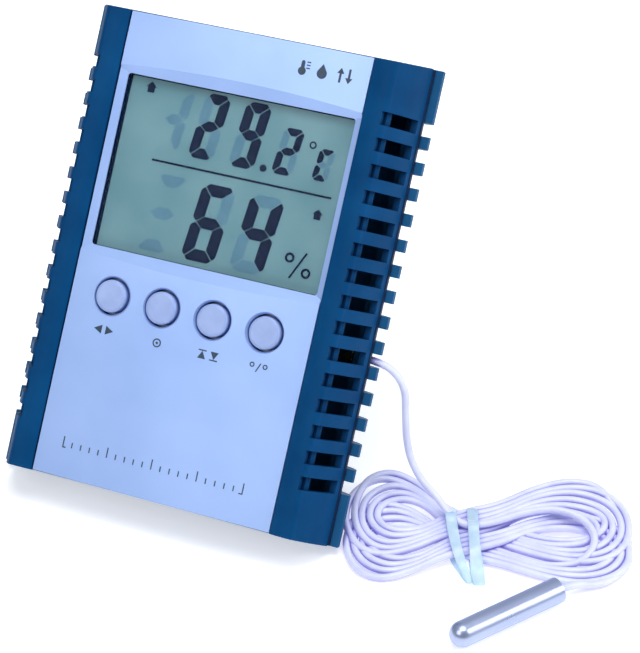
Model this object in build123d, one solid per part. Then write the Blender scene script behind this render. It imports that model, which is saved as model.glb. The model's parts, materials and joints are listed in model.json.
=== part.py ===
"""Indoor and outdoor thermometer and hygrometer with maximum and minimum memory.

A slim plastic case leans back on its fold-out stand. Four buttons work the display,
and a steel probe on a thin cable reads the outdoor temperature.

The case is drawn upright: +X to its right, +Y to its back, +Z up its face. The face's
side edges lie in the plane Y = 0 and its lower edge at Z = 0. stand_up() then leans it
back and sets it on the table. The cable, its hank and the probe are drawn on the table.
All sizes are in millimetres.
"""
from build123d import *
import os
from math import cos, pi, radians, sin, tan

# Overall sizes
LEAN = 34.0                 # the case leans back on its stand by this angle, degrees
FACE_HEIGHT = 110.0
FACE_HALF = 30.3            # half the width of the silver face
FACE_CROWN = 0.8            # how far the face bulges at its middle
FACE_BACK = 1.2
SEAM = 10.8                 # the front shell ends here
REAR_FRONT = 11.9           # the rear shell starts here, behind the gasket
REAR_BACK = 18.5
END_DRAFT = 0.9             # the ends spread by this much from the face to the seam
WALL = 1.5

# Rails and ribs along the sides
RAIL_INNER = 30.6
RAIL_CORNER = (36.7, -0.4)
RAIL_SEAM = 41.1
RIB_OUT = 43.3
RIB_CORNER = 13.4
NOTCH_FLOOR = 38.6
SLOT_COUNT = 15
SLOT_PITCH = 6.0
SLOT_HEIGHT = 3.1
SLOT_INNER = 35.3
SLOT_OUTER_Y = 9.0
SLOT_STEP = 36.0            # a slot is a blind recess as far as here, then slopes into its hole
SLOT_THROUGH = 36.6
RECESS_DEPTH = 0.7
RECESS_WALL = 0.8
SLOT_HEIGHTS = [FACE_HEIGHT / 2 + SLOT_PITCH * (i - SLOT_COUNT // 2) for i in range(SLOT_COUNT)]

# Window and display
WINDOW_LEFT, WINDOW_RIGHT = -28.3, 28.9
WINDOW_LOW, WINDOW_HIGH = 54.8, 95.7
BEVEL_EDGE = 0.9            # depth at which the window's bevel ends
BEVEL_TOP = 2.9             # width of the bevel above and below the window
BEVEL_SIDE = 5.6            # width that the side bevels would have at the face's crown
PLATE_BACK = 2.6
LENS_THICK = 0.8
FILM = 0.2
GLASS_THICK = 1.0
DISPLAY_HALF = 30.0
DISPLAY_LOW, DISPLAY_HIGH = 51.4, 98.4
CONTACT_LEDGE = 3.0

# Buttons
BUTTONS = ("in_out", "reset", "max_min", "unit")
BUTTON_PITCH = 13.0
BUTTON_CENTRE_X = -0.3
BUTTON_Z = 44.0
BUTTON_HOLE = 4.4
BUTTON_R = 3.8
HOLE_CHAMFER = 0.35
BUTTON_PROUD = 0.9
BUTTON_TRAVEL = 0.8

# Circuit board
BOARD_FRONT = 6.2
BOARD_BACK = 7.4
BOARD_HALF = 33.8
BOARD_LOW, BOARD_HIGH = 13.0, 68.0
BOARD_SCREWS = [(x, z) for x in (-31.8, 31.8) for z in (17.0, 48.0)]

# Battery, size AAA
CELL_R = 5.25
CELL_LENGTH = 44.5
CELL_Y = 11.75
CELL_Z = 77.5
BAY_HALF = 27.0
BAY_HALF_HEIGHT = 5.6
BAY_WALL = 1.2
DOOR_HALF = 28.3
DOOR_HALF_HEIGHT = 7.2
DOOR_GAP = 0.2

# Stand
HINGE_Y, HINGE_Z = 16.6, 62.0
OPEN_ANGLE = 49.0
STAND_HALF = 15.0
STAND_THICK = 2.4
HINGE_R = 1.7
PIN_R = 1.2
RECESS_FLOOR = 14.7
RECESS_LOW, RECESS_HIGH = 4.6, 64.8

# Screws and keyhole
CASE_SCREWS = [(x, z) for x in (-34.0, 34.0) for z in (6.0, 104.0)]
SCREW_HEAD_R = 2.2
SCREW_SHANK_R = 1.0
KEYHOLE_Z = 96.0
KEYHOLE_R = 3.2
KEYHOLE_SLOT_R = 1.7
KEYHOLE_DEPTH = 3.4

# Table contact: the rear lower edge is cut flat, to lie on the table
FOOT_DROP = 10.0            # how far below the case's own origin the table is
CENTRE_Y = 37.906           # the middle of the object's depth, which becomes Y = 0

# The gasket between the shells
GASKET_HALF = 41.4
GASKET_BORE = 38.6
GASKET_END = 2.6            # how far in from each end its opening starts
BOSS_GAP = 0.1

# Cable and probe, on the table
CABLE_R = 0.9
CABLE_X = 37.0
CABLE_Y = 14.0
CABLE_Z = SLOT_HEIGHTS[5]
HANK_MIDDLE = (74.6, 28.0 - CENTRE_Y)
HANK_ANGLE = 20.0
HANK_LEFT_LOBE = (-17.0, 1.0)
HANK_RIGHT_LOBE = (16.2, 0.0)
HANK_LOBE_R = 16.5
HANK_WAIST = 7.8
HANK_HEIGHT = 7.6
TIE_AT = -5.5               # the tie is this far along the hank from its middle
TIE_THICK = 0.7
TIE_WIDTH = 7.6
PROBE_R = 3.0
PROBE_LENGTH = 29.5
PROBE_MOUTH = (94.6, 14.7 - CENTRE_Y)
PROBE_HEADING = 56.6        # the way the probe's mouth faces, degrees from +X
PROBE_LEAD = 7.5            # from the probe's mouth to inside the hank
CABLE_STRAIGHT = 6.2        # the cable's first run, straight out of the case
# The rest of its route, down to the hank
CABLE_ROUTE = [
    (47.1, -2.3, 35.6),
    (49.4, -2.4, 31.7),
    (49.6, -2.5, 25.0),
    (50.0, -2.8, 18.6),
    (51.4, -3.4, 12.6),
    (54.8, -5.2, 8.4),
    (60.0, -8.0, 6.2),
]


def box(x0, x1, y0, y1, z0, z1):
    """A plain block between two corners."""
    return Pos((x0 + x1) / 2, (y0 + y1) / 2, (z0 + z1) / 2) * Box(x1 - x0, y1 - y0, z1 - z0)


def rod_y(radius, x, z, y0, y1):
    """A round rod along Y."""
    return Pos(x, (y0 + y1) / 2, z) * Rot(90, 0, 0) * Cylinder(radius, y1 - y0)


def rod_x(radius, y, z, x0, x1):
    """A round rod along X."""
    return Pos((x0 + x1) / 2, y, z) * Rot(0, 90, 0) * Cylinder(radius, x1 - x0)


def prism(face, z0, z1):
    """A face drawn in XY, extruded from z0 to z1."""
    return Pos(0, 0, z0) * extrude(face, z1 - z0)


def both_sides(edges):
    """A closed face from a half outline that starts and ends on the plane X = 0."""
    half = make_face(edges)
    return half + mirror(half, Plane.YZ)


def end_cutters(front_y, front_z, back_y, back_z):
    """Blocks that trim both ends of the case along sloping planes."""
    far, wide = 30.0, 60.0
    slope = (back_z - front_z) / (back_y - front_y)
    low_y, high_y = front_y - 10, back_y + 10
    low_z, high_z = front_z - 10 * slope, back_z + 10 * slope
    below = Polyline((low_y, -far), (high_y, -far), (high_y, high_z), (low_y, low_z), close=True)
    cutter = extrude(Plane.YZ * make_face(below), wide, both=True)
    middle = Plane.XY.offset(FACE_HEIGHT / 2)
    return cutter, mirror(cutter, middle)


def front_outline():
    """Outer outline of the front shell, right half, from the face's plate to the seam."""
    corner_x, corner_y = RAIL_CORNER
    edges = [
        Line((0, SEAM), (0, FACE_BACK)),
        Line((0, FACE_BACK), (RAIL_INNER, FACE_BACK)),
        Line((RAIL_INNER, FACE_BACK), (RAIL_INNER, -0.3)),
        ThreePointArc((RAIL_INNER, -0.3), (32.6, -1.15), (35.2, -1.45)),
        ThreePointArc((35.2, -1.45), (36.1, -1.2), (corner_x, corner_y)),
        ThreePointArc((corner_x, corner_y), (39.6, 4.9), (RAIL_SEAM, SEAM)),
        Line((RAIL_SEAM, SEAM), (0, SEAM)),
    ]
    return both_sides(edges)


def front_cavity():
    """Inner outline of the front shell."""
    edges = [
        Line((0, SEAM), (0, PLATE_BACK)),
        Line((0, PLATE_BACK), (32.0, PLATE_BACK)),
        Line((32.0, PLATE_BACK), (32.4, 0.3)),
        Line((32.4, 0.3), (34.9, 0.1)),
        Line((34.9, 0.1), (35.5, 0.7)),
        ThreePointArc((35.5, 0.7), (38.1, 5.3), (RAIL_SEAM - WALL, SEAM)),
        Line((RAIL_SEAM - WALL, SEAM), (0, SEAM)),
    ]
    return both_sides(edges)


def recess_floors():
    """A thick strip inside each rail's corner, for the floors of the slots' recesses."""
    low = SLOT_HEIGHTS[0] - SLOT_HEIGHT / 2 - 1
    right = box(SLOT_INNER - RECESS_WALL, SLOT_THROUGH, 0.2, RECESS_DEPTH + RECESS_WALL, low,
                FACE_HEIGHT - low)
    return right + mirror(right, Plane.YZ)


def slot_pair():
    """The cutter of one slot in each rail: a blind recess, a short slope and the hole."""
    front = -4
    outline = Polyline((SLOT_INNER, front), (45, front), (45, SLOT_OUTER_Y), (SLOT_THROUGH, SLOT_OUTER_Y),
                       (SLOT_THROUGH, RECESS_DEPTH + SLOT_THROUGH - SLOT_STEP), (SLOT_STEP, RECESS_DEPTH),
                       (SLOT_INNER, RECESS_DEPTH), close=True)
    right = prism(make_face(outline), -SLOT_HEIGHT / 2, SLOT_HEIGHT / 2)
    return right + mirror(right, Plane.YZ)


def front_housing():
    shell = prism(front_outline(), -2, FACE_HEIGHT + 2)
    shell -= prism(front_cavity(), WALL, FACE_HEIGHT - WALL)
    for cutter in end_cutters(-1.45, 0, SEAM, -END_DRAFT):
        shell -= cutter
    shell -= box(WINDOW_LEFT, WINDOW_RIGHT, 0, 4, WINDOW_LOW, WINDOW_HIGH)
    shell -= box(WINDOW_LEFT - 1.2, WINDOW_RIGHT + 1.2, 0, FACE_BACK + LENS_THICK,
                 WINDOW_LOW - 1.2, WINDOW_HIGH + 1.2)
    for x in button_centres():
        shell -= rod_y(BUTTON_HOLE, x, BUTTON_Z, 0, 4)
    shell += recess_floors()
    for z in SLOT_HEIGHTS:
        shell -= Pos(0, 0, z) * slot_pair()
    for x, z in CASE_SCREWS:
        shell += rod_y(3.0, x, z, 0.2, REAR_FRONT - BOSS_GAP)
        shell -= rod_y(SCREW_SHANK_R + 0.05, x, z, 2.0, REAR_FRONT)
    for x, z in BOARD_SCREWS:
        shell += rod_y(1.6, x, z, FACE_BACK + 0.1, BOARD_FRONT)
        shell -= rod_y(0.75, x, z, 2.0, BOARD_FRONT + 1)
    return shell


def face_arc():
    """The face's crowned cross section."""
    edges = [
        ThreePointArc((-FACE_HALF, 0), (0, -FACE_CROWN), (FACE_HALF, 0)),
        Line((FACE_HALF, 0), (FACE_HALF, FACE_BACK)),
        Line((FACE_HALF, FACE_BACK), (-FACE_HALF, FACE_BACK)),
        Line((-FACE_HALF, FACE_BACK), (-FACE_HALF, 0)),
    ]
    return make_face(edges)


def upright_rectangle(x0, x1, z0, z1, y):
    """A rectangle that faces along Y, at the depth y."""
    corners = [(x0, y, z0), (x1, y, z0), (x1, y, z1), (x0, y, z1)]
    return make_face(Polyline(*corners, close=True))


def window_bevel():
    """The funnel that the window's sloping border cuts out of the face."""
    middle_x = (WINDOW_LEFT + WINDOW_RIGHT) / 2
    half = (WINDOW_RIGHT - WINDOW_LEFT) / 2 + BEVEL_SIDE
    outer = upright_rectangle(middle_x - half, middle_x + half,
                              WINDOW_LOW - BEVEL_TOP, WINDOW_HIGH + BEVEL_TOP, -FACE_CROWN)
    inner = upright_rectangle(WINDOW_LEFT, WINDOW_RIGHT, WINDOW_LOW, WINDOW_HIGH, BEVEL_EDGE)
    return loft([outer, inner])


def front_panel():
    panel = prism(face_arc(), 0.1, FACE_HEIGHT - 0.1)
    opening = box(WINDOW_LEFT, WINDOW_RIGHT, -2, 3, WINDOW_LOW, WINDOW_HIGH)
    panel -= fillet(opening.edges().filter_by(Axis.Y), 0.7)
    panel -= window_bevel()
    for x in button_centres():
        panel -= rod_y(BUTTON_HOLE, x, BUTTON_Z, -3, 3)
        panel -= button_countersink(x)
    return panel


def button_countersink(x):
    """The cone that bevels the rim of a button's hole."""
    deep = 2 * HOLE_CHAMFER
    cone = Cone(BUTTON_HOLE, BUTTON_HOLE + deep, deep)
    return Pos(x, face_depth(x), BUTTON_Z) * Rot(90, 0, 0) * cone


def window_lens():
    grow = 1.1
    return box(WINDOW_LEFT - grow, WINDOW_RIGHT + grow, FACE_BACK, FACE_BACK + LENS_THICK,
               WINDOW_LOW - grow, WINDOW_HIGH + grow)


def display_x():
    """Left and right edges of the display glass."""
    middle = (WINDOW_LEFT + WINDOW_RIGHT) / 2
    return middle - DISPLAY_HALF, middle + DISPLAY_HALF


def display_layers():
    """The display from front to back: film, front glass, rear glass and reflector."""
    left, right = display_x()
    front = PLATE_BACK + FILM
    middle = front + GLASS_THICK
    back = middle + GLASS_THICK
    ledge = DISPLAY_LOW + CONTACT_LEDGE
    glass = box(left, right, front, middle, DISPLAY_LOW, DISPLAY_HIGH)
    glass += box(left, right, middle, back, ledge, DISPLAY_HIGH)
    film = box(left + 0.5, right - 0.5, PLATE_BACK, front, DISPLAY_LOW + 1, DISPLAY_HIGH - 0.5)
    reflector = box(left + 0.5, right - 0.5, back, back + FILM, ledge + 0.5, DISPLAY_HIGH - 0.5)
    return {"display_glass": glass, "display_film": film, "display_reflector": reflector}


def display_frame():
    left, right = display_x()
    gap, wall, back = 0.2, 0.9, 6.0
    ring = box(left - gap - wall, right + gap + wall, PLATE_BACK, back,
               DISPLAY_LOW - gap - wall, DISPLAY_HIGH + gap + wall)
    ring -= box(left - gap, right + gap, PLATE_BACK - 1, 5.2, DISPLAY_LOW - gap, DISPLAY_HIGH + gap)
    ring -= box(left + 1.2, right - 1.2, 5, 7, DISPLAY_LOW - gap, DISPLAY_HIGH - 1.2)
    return ring


def contact_strip():
    """The striped rubber connector between the display's ledge and the board."""
    return box(-26, 26, PLATE_BACK + FILM + GLASS_THICK, BOARD_FRONT,
               DISPLAY_LOW + 0.4, DISPLAY_LOW + 2.8)


def button_centres():
    return [BUTTON_CENTRE_X + BUTTON_PITCH * (i - 1.5) for i in range(len(BUTTONS))]


def face_depth(x):
    """Where the crowned face lies at a place across it."""
    return -FACE_CROWN * (1 - (x / FACE_HALF) ** 2)


def button(x):
    top = face_depth(x) - BUTTON_PROUD
    cap = rod_y(BUTTON_R, x, BUTTON_Z, top, PLATE_BACK + 0.2)
    rim = cap.edges().filter_by(GeomType.CIRCLE).sort_by(Axis.Y)[0]
    cap = fillet(rim, 0.7)
    cap += rod_y(BUTTON_R + 1.1, x, BUTTON_Z, PLATE_BACK + 0.1, PLATE_BACK + 0.8)
    cap += rod_y(1.8, x, BUTTON_Z, PLATE_BACK + 0.5, PLATE_BACK + 1.0)
    return cap


def rubber_keypad():
    """One moulded sheet on the board, with a dome under each button."""
    sheet_front = 5.2
    dome_front = PLATE_BACK + 1.0 + BUTTON_TRAVEL + 0.1
    sheet = box(-28, 28, sheet_front, BOARD_FRONT, BUTTON_Z - 6, BUTTON_Z + 5)
    for x in button_centres():
        sheet += rod_y(2.6, x, BUTTON_Z, dome_front, sheet_front + 0.2)
        sheet -= rod_y(2.0, x, BUTTON_Z, sheet_front - 0.2, BOARD_FRONT + 1)
    return sheet


def circuit_board():
    board = box(-BOARD_HALF, BOARD_HALF, BOARD_FRONT, BOARD_BACK, BOARD_LOW, BOARD_HIGH)
    for x, z in BOARD_SCREWS:
        board -= rod_y(1.1, x, z, BOARD_FRONT - 1, BOARD_BACK + 1)
    return board


def board_screws():
    screws = []
    for x, z in BOARD_SCREWS:
        head = rod_y(1.7, x, z, BOARD_BACK, BOARD_BACK + 1.2)
        slot = box(x - 1.1, x + 1.1, BOARD_BACK + 0.6, BOARD_BACK + 2, z - 0.25, z + 0.25)
        screws.append(head + rod_y(0.7, x, z, 2.3, BOARD_BACK + 0.1) - slot)
    return Compound(screws)


def chip_cover():
    """The resin drop over the bare chip."""
    bulge, radius = 1.3, 5.0
    ball = (radius ** 2 + bulge ** 2) / (2 * bulge)
    drop = Pos(0, BOARD_BACK + bulge - ball, 31) * Sphere(ball)
    return drop & rod_y(radius + 1, 0, 31, BOARD_BACK, BOARD_BACK + 4)


def crystal():
    can = rod_x(1.0, BOARD_BACK + 1.0, 48, 9, 15)
    leads = [rod_x(0.15, BOARD_BACK + 1.0, 48 + dz, 6.5, 9) for dz in (-0.35, 0.35)]
    return Compound([can] + leads)


def small_chips():
    """Surface mounted resistors and capacitors."""
    chips = []
    for row, z in enumerate((40.0, 44.0, 22.0)):
        for column in range(5):
            x = -14 + 5.0 * column + 1.5 * row
            chips.append(box(x - 1, x + 1, BOARD_BACK, BOARD_BACK + 0.6, z - 0.6, z + 0.6))
    return Compound(chips)


def humidity_sensor():
    """A resistive humidity sensor in its slotted case."""
    case = box(-30, -22, BOARD_BACK, BOARD_BACK + 4.2, 24, 35)
    for z in (26.5, 28.5, 30.5, 32.5):
        case -= box(-28.5, -23.5, BOARD_BACK + 3.2, BOARD_BACK + 5, z - 0.5, z + 0.5)
    return case


def room_thermistor():
    bead = Pos(26, BOARD_BACK + 4, 30) * Sphere(1.3)
    for dx in (-0.6, 0.6):
        bead += rod_y(0.2, 26 + dx, 30, BOARD_BACK, BOARD_BACK + 3.5)
    return bead


def seam_gasket():
    """The rubber ring between the two shells."""
    ring = box(-GASKET_HALF, GASKET_HALF, SEAM, REAR_FRONT, -END_DRAFT + 0.2, FACE_HEIGHT + END_DRAFT - 0.2)
    return ring - box(-GASKET_BORE, GASKET_BORE, SEAM - 1, REAR_FRONT + 1, GASKET_END,
                      FACE_HEIGHT - GASKET_END)


def rear_outline():
    """Outer outline of the rear shell, right half, with the ribs at full width."""
    edges = [
        Line((0, REAR_BACK), (0, REAR_FRONT)),
        Line((0, REAR_FRONT), (RIB_OUT, REAR_FRONT)),
        Line((RIB_OUT, REAR_FRONT), (RIB_OUT, RIB_CORNER)),
        ThreePointArc((RIB_OUT, RIB_CORNER), (41.4, 16.6), (38.4, REAR_BACK)),
        Line((38.4, REAR_BACK), (0, REAR_BACK)),
    ]
    return both_sides(edges)


def keyhole():
    """The hanging hole: a round mouth and a narrow slot above it, undercut behind."""
    hole = rod_y(KEYHOLE_R, 0, KEYHOLE_Z, REAR_BACK - KEYHOLE_DEPTH, REAR_BACK + 1)
    top = KEYHOLE_Z + 6.0
    slot = box(-KEYHOLE_SLOT_R, KEYHOLE_SLOT_R, REAR_BACK - KEYHOLE_DEPTH, REAR_BACK + 1,
               KEYHOLE_Z, top)
    slot += rod_y(KEYHOLE_SLOT_R, 0, top, REAR_BACK - KEYHOLE_DEPTH, REAR_BACK + 1)
    room = box(-3.6, 3.6, REAR_BACK - KEYHOLE_DEPTH, REAR_BACK - WALL, KEYHOLE_Z, top + 3)
    room += rod_y(3.6, 0, KEYHOLE_Z, REAR_BACK - KEYHOLE_DEPTH, REAR_BACK - WALL)
    return hole + slot + room


def foot_cutter():
    """Everything below the table, in the upright case's frame."""
    block = Pos(0, 0, -FOOT_DROP - 20) * Box(120, 120, 40)
    return Rot(LEAN, 0, 0) * block


def rear_housing():
    shell = prism(rear_outline(), -2, FACE_HEIGHT + 2)
    shell -= box(-NOTCH_FLOOR + WALL, NOTCH_FLOOR - WALL, REAR_FRONT - 1, REAR_BACK - WALL,
                 WALL, FACE_HEIGHT - WALL)
    inner_back = REAR_BACK - WALL
    # Battery bay, stand recess and keyhole pocket stand into the shell
    bay_low, bay_high = CELL_Z - BAY_HALF_HEIGHT, CELL_Z + BAY_HALF_HEIGHT
    shell += box(-BAY_HALF - BAY_WALL, BAY_HALF + BAY_WALL, 5.4, inner_back,
                 bay_low - BAY_WALL, bay_high + BAY_WALL)
    shell += box(-STAND_HALF - 2.3, STAND_HALF + 2.3, RECESS_FLOOR - 1.2, inner_back,
                 RECESS_LOW - 1.2, RECESS_HIGH + 1.2)
    shell += box(-5, 5, REAR_BACK - KEYHOLE_DEPTH - 1.2, inner_back, KEYHOLE_Z - 5, FACE_HEIGHT - 1)
    for x, z in CASE_SCREWS:
        shell += rod_y(3.6, x, z, REAR_FRONT, inner_back + 0.1)
    shell -= box(-BAY_HALF, BAY_HALF, 6.4, REAR_BACK + 1, bay_low, bay_high)
    shell -= box(-DOOR_HALF - DOOR_GAP, DOOR_HALF + DOOR_GAP, REAR_BACK - 1.4, REAR_BACK + 1,
                 CELL_Z - DOOR_HALF_HEIGHT - DOOR_GAP, CELL_Z + DOOR_HALF_HEIGHT + DOOR_GAP)
    shell -= box(-STAND_HALF - 0.3, STAND_HALF + 0.3, RECESS_FLOOR, REAR_BACK + 1,
                 RECESS_LOW, RECESS_HIGH)
    shell -= box(-6, 6, RECESS_FLOOR + 1.5, REAR_BACK + 1, RECESS_LOW - 2.6, RECESS_LOW + 1)
    shell -= rod_x(PIN_R + 0.05, HINGE_Y, HINGE_Z, -STAND_HALF - 1.6, STAND_HALF + 1.6)
    shell -= keyhole()
    for x, z in CASE_SCREWS:
        shell -= rod_y(SCREW_HEAD_R + 0.5, x, z, 13.6, REAR_BACK + 1)
        shell -= rod_y(SCREW_SHANK_R + 0.3, x, z, REAR_FRONT - 1, 15)
    for z in SLOT_HEIGHTS:
        for side in (-1, 1):
            near, far = sorted((side * NOTCH_FLOOR, side * 45))
            shell -= box(near, far, REAR_FRONT - 1, REAR_BACK + 1,
                         z - SLOT_HEIGHT / 2, z + SLOT_HEIGHT / 2)
    shell -= rod_x(CABLE_R + 0.2, CABLE_Y, CABLE_Z, NOTCH_FLOOR - 3, NOTCH_FLOOR + 1)
    for cutter in end_cutters(SEAM, -END_DRAFT, REAR_BACK, -END_DRAFT + 0.6):
        shell -= cutter
    return shell - foot_cutter()


def battery_door():
    low, high = CELL_Z - DOOR_HALF_HEIGHT, CELL_Z + DOOR_HALF_HEIGHT
    door = box(-DOOR_HALF, DOOR_HALF, REAR_BACK - 1.4, REAR_BACK, low, high)
    door = fillet(door.edges().filter_by(Axis.Y), 1.0)
    for i in range(5):
        x = -22.0 + 1.8 * i
        door -= box(x - 0.4, x + 0.4, REAR_BACK - 0.5, REAR_BACK + 1, CELL_Z - 4, CELL_Z + 4)
    return door


def battery():
    end = CELL_LENGTH / 2
    cell = rod_x(CELL_R, CELL_Y, CELL_Z, -end + 0.8, end - 0.8)
    rims = cell.edges().filter_by(GeomType.CIRCLE)
    cell = fillet(rims, 0.5)
    return cell + rod_x(1.9, CELL_Y, CELL_Z, end - 1.0, end)


def battery_contacts():
    """The positive tab and the negative plate, which holds the spring."""
    half = 4.2
    positive = box(BAY_HALF - 0.4, BAY_HALF, CELL_Y - half, CELL_Y + half,
                   CELL_Z - half, CELL_Z + half)
    positive += rod_x(2.2, CELL_Y, CELL_Z, CELL_LENGTH / 2 + 0.05, BAY_HALF - 0.3)
    negative = box(-BAY_HALF, -BAY_HALF + 0.4, CELL_Y - half, CELL_Y + half,
                   CELL_Z - half, CELL_Z + half)
    return Compound([positive, negative])


def battery_spring():
    """A short coil between the negative plate and the cell."""
    start = -BAY_HALF + 0.4
    length = -CELL_LENGTH / 2 + 0.8 - start
    wire = 0.3
    path = Helix(pitch=(length - 2 * wire) / 3, height=length - 2 * wire, radius=2.8)
    at = Plane(origin=path @ 0, z_dir=path % 0)
    coil = sweep(at * Circle(wire), path=path, is_frenet=True)
    return Pos(start + wire, CELL_Y, CELL_Z) * Rot(0, 90, 0) * coil


def wire(points, radius, bend):
    """A round wire along straight runs joined by arcs."""
    path = FilletPolyline(*points, radius=bend)
    return sweep(Plane(origin=path @ 0, z_dir=path % 0) * Circle(radius), path=path)


def battery_wires():
    """The two leads from the battery's contacts to the board."""
    leads = []
    for side in (-1, 1):
        x = side * (BAY_HALF + BAY_WALL + 1.2)
        leads.append(wire([(x, 12, 78), (x, 12, 64), (side * 24, 10, 60),
                           (side * 24, BOARD_BACK, 60)], 0.5, 1.2))
    return Compound(leads)


def probe_wires():
    """The cable's two cores, from the clamp to the board."""
    cores = []
    for dz in (-0.8, 0.8):
        z = CABLE_Z + dz
        cores.append(wire([(33.4, CABLE_Y, z), (30, CABLE_Y, z), (24, 11, z),
                           (24, BOARD_BACK, z)], 0.4, 1.0))
    return Compound(cores)


def cable_clamp():
    """The collar that keeps the cable from being pulled out."""
    collar = rod_x(2.4, CABLE_Y, CABLE_Z, 33.4, CABLE_X)
    return fillet(collar.edges().filter_by(GeomType.CIRCLE), 0.4)


def case_screws():
    screws = []
    for x, z in CASE_SCREWS:
        head = rod_y(SCREW_HEAD_R, x, z, 13.6, 15.2)
        cross = box(x - 1.4, x + 1.4, 14.5, 16, z - 0.3, z + 0.3)
        cross += box(x - 0.3, x + 0.3, 14.5, 16, z - 1.4, z + 1.4)
        screws.append(head + rod_y(SCREW_SHANK_R, x, z, 3.0, 13.7) - cross)
    return Compound(screws)


def stand_length():
    """From the hinge to the middle of the stand's rounded tip, so that it meets the table."""
    hinge_height = table_point(0, HINGE_Y, HINGE_Z)[2]
    return (hinge_height - STAND_THICK / 2) / cos(radians(OPEN_ANGLE - LEAN))


def stand_leg():
    """The leg, drawn shut and then swung open about its hinge."""
    length = stand_length()
    half_tip = 12.0
    plate = Polyline((-STAND_HALF, 0), (STAND_HALF, 0), (half_tip, -length), (-half_tip, -length),
                     close=True)
    leg = extrude(Plane.XZ * make_face(plate), STAND_THICK / 2, both=True)
    leg += rod_x(STAND_THICK / 2, 0, -length, -half_tip, half_tip)
    leg += rod_x(HINGE_R, 0, 0, -STAND_HALF, STAND_HALF)
    leg += rod_x(PIN_R, 0, 0, -STAND_HALF - 1.5, STAND_HALF + 1.5)
    leg -= box(-7, 7, -3, 3, -length + 7, -length + 22)
    leg = Rot(OPEN_ANGLE, 0, 0) * leg
    leg += box(-8, 8, RECESS_FLOOR + 0.05 - HINGE_Y, 0, 0, 1.4)
    return Pos(0, HINGE_Y, HINGE_Z) * leg


def table_point(x, y, z):
    """Where a point of the upright case lies once the case stands on the table."""
    lean = radians(LEAN)
    return (x, y * cos(lean) + z * sin(lean) - CENTRE_Y,
            z * cos(lean) - y * sin(lean) + FOOT_DROP)


def stand_up(part):
    """Lean a part of the upright case back and set it on the table."""
    return Pos(0, -CENTRE_Y, FOOT_DROP) * Rot(-LEAN, 0, 0) * part


def corner_radii(points):
    """The largest arcs that the route's runs allow, one for each corner."""
    radii = []
    for before, here, after in zip(points, points[1:], points[2:]):
        run_in = Vector(*here) - Vector(*before)
        run_out = Vector(*after) - Vector(*here)
        half_turn = radians(run_in.get_angle(run_out)) / 2
        radii.append(0.45 * min(run_in.length, run_out.length) / tan(half_turn))
    return radii


def cable_tube():
    """The stretch of cable from the case down to the hank."""
    starts = [table_point(CABLE_X + run, CABLE_Y, CABLE_Z) for run in (0, CABLE_STRAIGHT)]
    points = starts + CABLE_ROUTE
    radii = corner_radii(points)
    path = FilletPolyline(*points, radius=radii)
    tube = sweep(Plane(origin=path @ 0, z_dir=path % 0) * Circle(CABLE_R), path=path)
    expected = pi * CABLE_R ** 2 * path.length
    print("cable arcs", [round(r, 1) for r in radii], "length", round(path.length, 1),
          "volume", round(tube.volume, 2), "expected", round(expected, 2))
    return tube


def on_hank(part):
    """Place something drawn along X at the hank's middle."""
    x, y = HANK_MIDDLE
    return Pos(x, y, 0) * Rot(0, 0, HANK_ANGLE) * part


def cable_hank():
    """The outer shape of the tied hank: two lobes and a waist."""
    outline = Rectangle(HANK_RIGHT_LOBE[0] - HANK_LEFT_LOBE[0], 2 * HANK_WAIST)
    for middle in (HANK_LEFT_LOBE, HANK_RIGHT_LOBE):
        outline += Circle(HANK_LOBE_R).moved(Location(middle))
    solid = extrude(outline, HANK_HEIGHT)
    left, right = TIE_AT - TIE_WIDTH / 2 - 0.4, TIE_AT + TIE_WIDTH / 2 + 0.4
    for low, high in ((-HANK_LOBE_R, -HANK_WAIST), (HANK_WAIST, HANK_LOBE_R)):
        solid -= box(left, right, low, high, -1, HANK_HEIGHT + 1)
    return on_hank(solid - tie_ring())


def tie_ring():
    left, right = TIE_AT - TIE_WIDTH / 2, TIE_AT + TIE_WIDTH / 2
    outer = HANK_WAIST + 0.9
    ring = box(left, right, -outer, outer, 0, HANK_HEIGHT + TIE_THICK)
    bore = HANK_WAIST + 0.2
    return ring - box(left - 1, right + 1, -bore, bore, TIE_THICK, HANK_HEIGHT)


def twist_tie():
    """The plastic tie round the hank's waist, with its twisted ends on the table."""
    edge = -HANK_WAIST - 0.9
    ends = box(TIE_AT - 1.5, TIE_AT + 2.5, edge - 4.6, edge, 0, 1.8)
    return on_hank(tie_ring() + ends)


def probe_at(part):
    """Place something drawn along +X from the probe's mouth back to its tip."""
    x, y = PROBE_MOUTH
    return Pos(x, y, PROBE_R) * Rot(0, 0, PROBE_HEADING + 180) * part


def probe_parts():
    """The steel sheath, its resin plug, the bead inside it and the lead into the hank."""
    bore = PROBE_R - 0.3
    dome = PROBE_LENGTH - PROBE_R
    sheath = rod_x(PROBE_R, 0, 0, 0, dome) + Pos(dome, 0, 0) * Sphere(PROBE_R)
    sheath -= rod_x(bore, 0, 0, -1, dome)
    plug = rod_x(bore - 0.02, 0, 0, 0, 6)
    bead = Pos(22, 0, 0) * Sphere(1.4) + rod_x(0.5, 0, 0, 6, 21.5)
    lead = rod_x(CABLE_R, 0, 0, -PROBE_LEAD, 0)
    parts = {"probe_sheath": sheath, "probe_seal": plug, "probe_bead": bead, "probe_lead": lead}
    return {name: probe_at(part) for name, part in parts.items()}


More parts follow.
